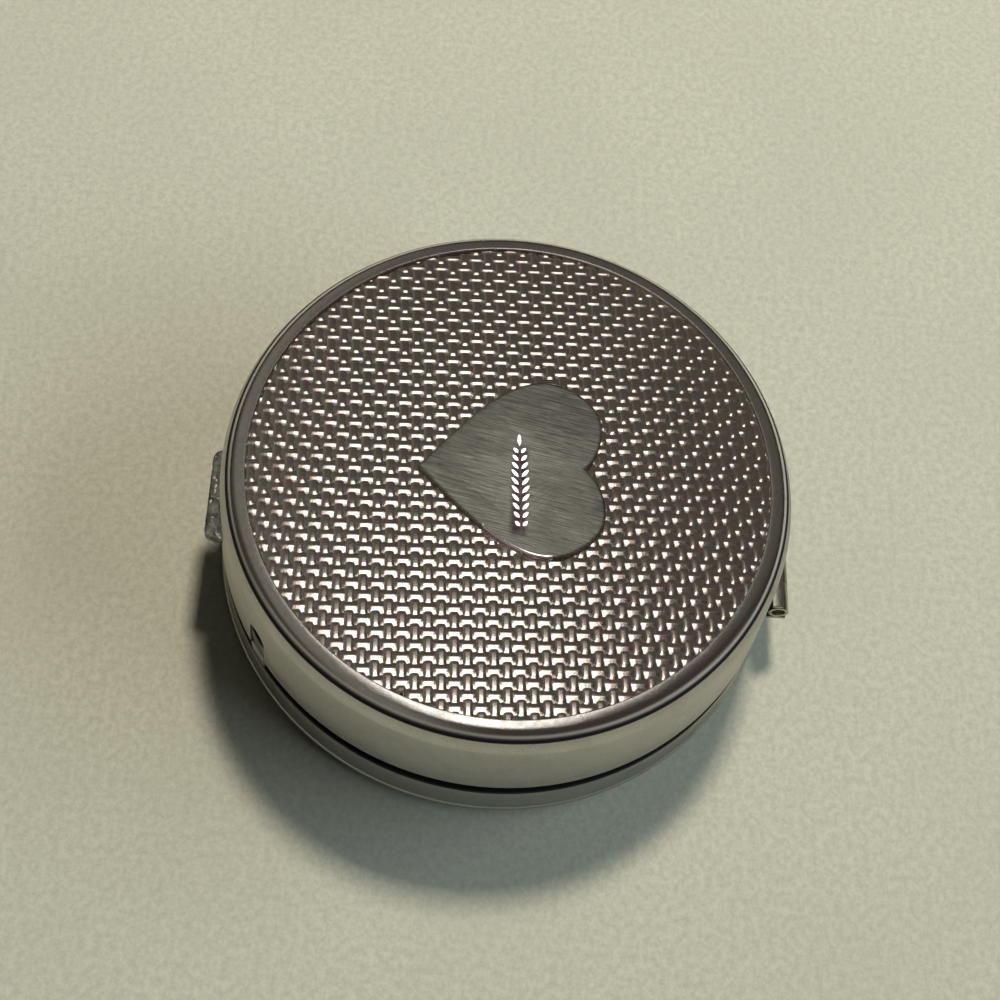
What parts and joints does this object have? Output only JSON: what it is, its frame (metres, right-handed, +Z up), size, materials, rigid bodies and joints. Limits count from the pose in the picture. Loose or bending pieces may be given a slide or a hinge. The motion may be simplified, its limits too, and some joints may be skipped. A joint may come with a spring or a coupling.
{
  "type": "round hinged jewelry case",
  "caption": "Small round hinged metal jewelry case: basket-weave lid in a bright rim, plain heart plaque, thumb lug, stepped collar and lined base.",
  "frame": {"origin": "centre of the case's flat bottom, on the surface it stands on", "axes": "+Z up, thumb lug on the -Y side, hinge on the +Y side with its pin along X"},
  "size_m": [0.0506, 0.0521, 0.0169],
  "materials": {
    "polished_plate": "polished, lightly handled",
    "bright_bead": "mirror polished",
    "embossed_weave": "embossed basket weave, bright on the crowns and dark between",
    "brushed_heart": "brushed at a slant, with a bright-cut sprig",
    "inner_metal": "dull plate",
    "lining_felt": "short-napped velvet"
  },
  "bodies": {
    "base": {"base_band": "polished_plate", "base_bottom": "polished_plate", "collar": "inner_metal", "outlet_tongue": "polished_plate", "base_pad": "lining_felt", "base_hinge_leaf": "polished_plate", "base_knuckle_1": "polished_plate", "base_knuckle_2": "polished_plate", "base_knuckle_3": "polished_plate", "hinge_pin": "inner_metal"},
    "lid": {"lid_shell": "polished_plate", "rim_bead": "bright_bead", "woven_panel": "embossed_weave", "heart_plaque": "brushed_heart", "thumb_lug": "polished_plate", "lid_hinge_leaf": "polished_plate", "lid_knuckle_1": "polished_plate", "lid_knuckle_2": "polished_plate"}
  },
  "joints": [
    {"name": "lid_hinge", "type": "hinge", "parent": "base", "child": "lid", "pos_m": [0, 0.02528, 0.0059], "axis": [-1, 0, 0], "range_deg": [0, 120]}
  ]
}
